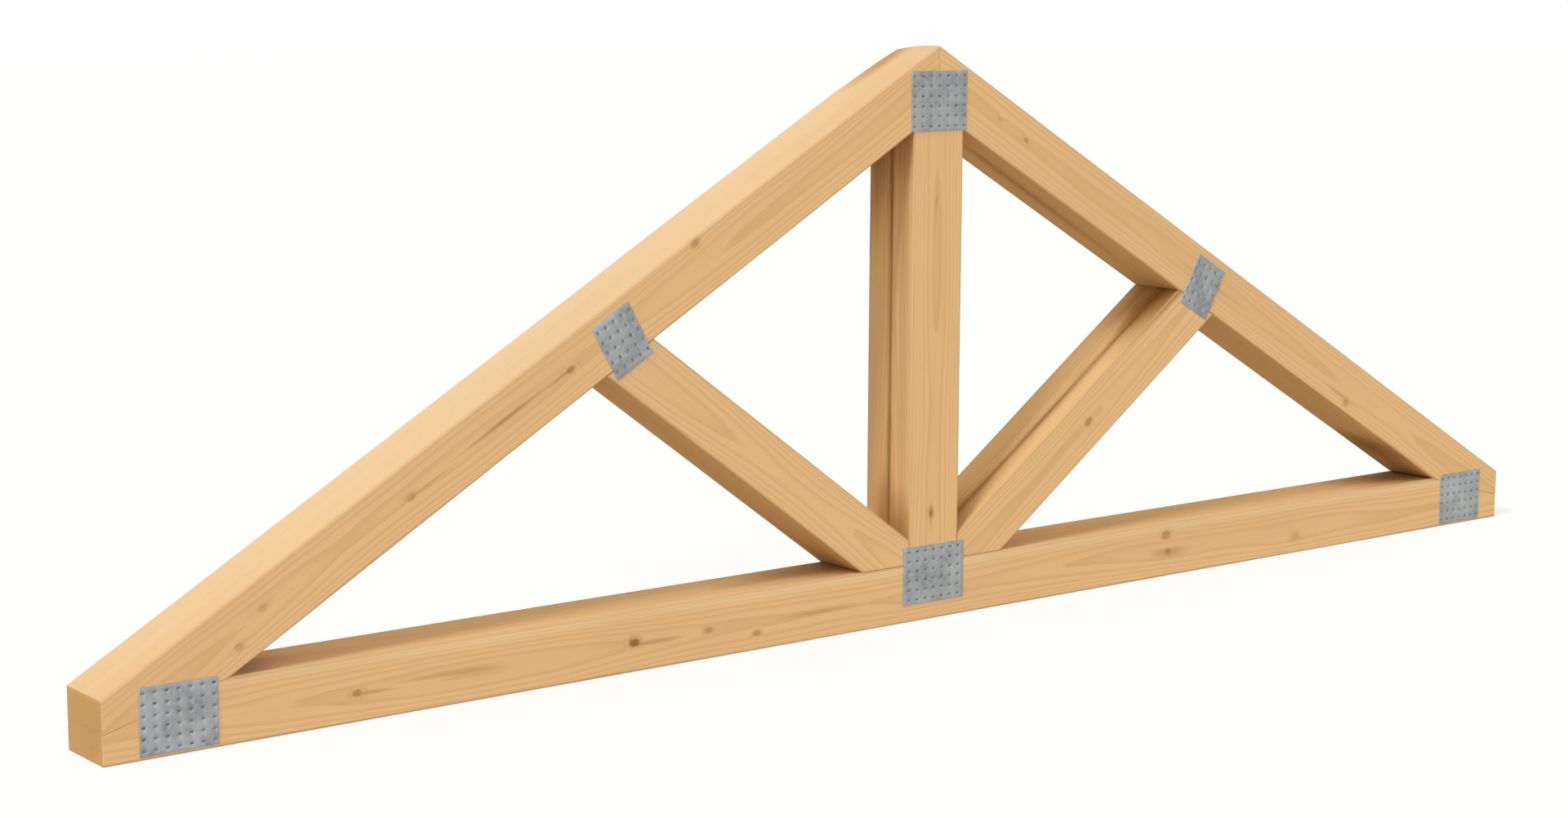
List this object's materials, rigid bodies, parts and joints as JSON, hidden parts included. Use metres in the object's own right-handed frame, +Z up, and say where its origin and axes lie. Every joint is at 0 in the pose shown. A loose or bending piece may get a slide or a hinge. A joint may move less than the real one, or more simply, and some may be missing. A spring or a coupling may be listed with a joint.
{
  "type": "roof truss",
  "caption": "Small timber king-post roof truss with diagonal webs, a plumb-cut heel at each end and punched steel nail plates over its joints on both faces",
  "frame": {"origin": "middle of the underside of the bottom chord, half way along the span and half way through the thickness", "axes": "+X along the span to the right heel, +Y through the thickness to the back face, +Z up to the ridge"},
  "size_m": [3.2, 0.1224, 1.0237],
  "materials": {
    "timber": "planed softwood, pale honey colour, knots and a darker heart line, eased long edges",
    "nail_plate_steel": "galvanised steel sheet, dull grey, punched with tooth slots"
  },
  "bodies": {
    "root": {"bottom_chord": "timber", "king_post": "timber", "top_chord_left": "timber", "top_chord_right": "timber", "web_left": "timber", "web_right": "timber", "apex_plate_front": "nail_plate_steel", "apex_plate_back": "nail_plate_steel", "centre_plate_front": "nail_plate_steel", "centre_plate_back": "nail_plate_steel", "heel_plate_left_front": "nail_plate_steel", "heel_plate_left_back": "nail_plate_steel", "heel_plate_right_front": "nail_plate_steel", "heel_plate_right_back": "nail_plate_steel", "web_plate_left_front": "nail_plate_steel", "web_plate_left_back": "nail_plate_steel", "web_plate_right_front": "nail_plate_steel", "web_plate_right_back": "nail_plate_steel"}
  },
  "joints": []
}
